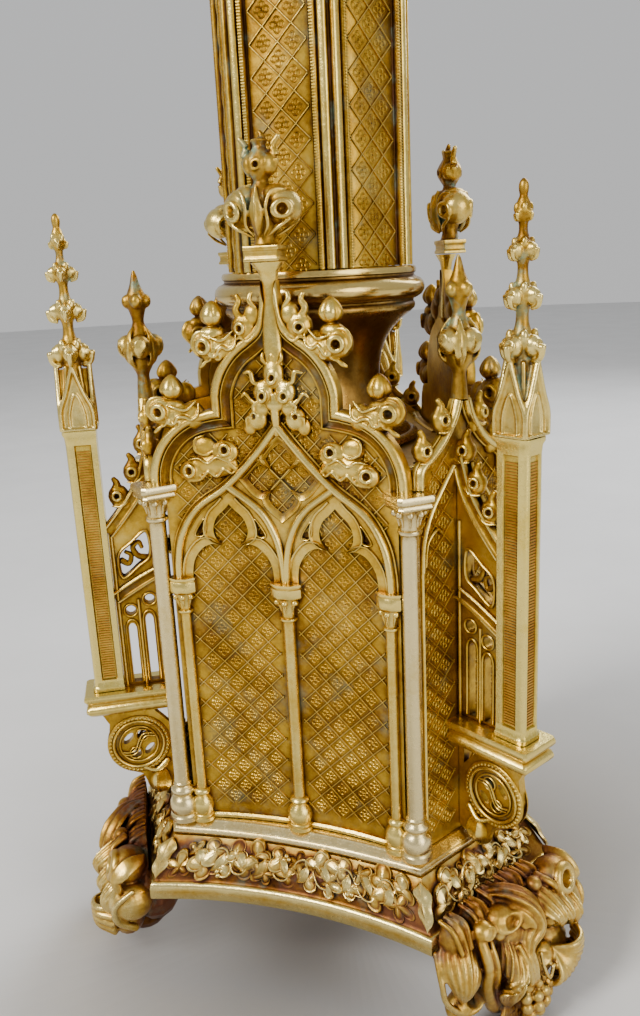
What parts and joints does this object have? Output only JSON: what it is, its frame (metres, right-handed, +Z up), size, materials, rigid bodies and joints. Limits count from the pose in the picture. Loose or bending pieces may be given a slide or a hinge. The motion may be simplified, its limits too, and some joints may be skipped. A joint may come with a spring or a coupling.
{
  "type": "candelabrum",
  "caption": "Neo-gothic altar candelabrum: leafy feet, gabled hexagonal tabernacle with flying buttresses, lattice stem and a crown of pricket arms.",
  "frame": {"origin": "on the floor, under the candelabrum's vertical axis", "axes": "+Z up along the stem; -Y out of the front gabled face; +X to that face's right"},
  "size_m": [0.2564, 0.288, 0.764],
  "materials": {
    "gilt": "worn gilded brass, fine cast relief",
    "pale_gilt": "rubbed pale gilding, satin",
    "tarnished_gilt": "gilded brass with red-brown tarnish in the hollows",
    "brown_gilt": "browned turned brass",
    "iron": "plain threaded rod and nut"
  },
  "bodies": {
    "root": {"base_plate": "tarnished_gilt", "sill_moulding": "pale_gilt", "main_panel_front": "gilt", "main_finial_front": "pale_gilt", "main_panel_right": "gilt", "main_finial_right": "pale_gilt", "main_panel_left": "gilt", "main_finial_left": "pale_gilt", "foot_right": "tarnished_gilt", "foot_left": "tarnished_gilt", "foot_back": "tarnished_gilt", "corner_panel_right": "gilt", "corner_panel_left": "gilt", "corner_panel_back": "gilt", "corner_finial_right": "gilt", "corner_finial_left": "gilt", "corner_finial_back": "gilt", "buttress_wing_right": "gilt", "buttress_wing_left": "gilt", "buttress_wing_back": "gilt", "pier_right": "pale_gilt", "pier_left": "pale_gilt", "pier_back": "pale_gilt", "pinnacle_right": "pale_gilt", "pinnacle_left": "pale_gilt", "pinnacle_back": "pale_gilt", "corner_column_1": "pale_gilt", "corner_column_2": "pale_gilt", "corner_column_3": "pale_gilt", "corner_column_4": "pale_gilt", "corner_column_5": "pale_gilt", "corner_column_6": "pale_gilt", "roof_plate": "gilt", "lower_neck": "brown_gilt", "stem_casing": "gilt", "knop": "brown_gilt", "arm_crown": "gilt", "top_spindle": "gilt", "tie_rod": "iron", "tie_rod_nut": "iron", "arm_1": "gilt", "drip_pan_1": "pale_gilt", "pricket_1": "gilt", "arm_2": "gilt", "drip_pan_2": "pale_gilt", "pricket_2": "gilt", "arm_3": "gilt", "drip_pan_3": "pale_gilt", "pricket_3": "gilt", "arm_4": "gilt", "drip_pan_4": "pale_gilt", "pricket_4": "gilt", "arm_5": "gilt", "drip_pan_5": "pale_gilt", "pricket_5": "gilt", "arm_6": "gilt", "drip_pan_6": "pale_gilt", "pricket_6": "gilt", "drip_pan_center": "pale_gilt", "pricket_center": "gilt"}
  },
  "joints": []
}
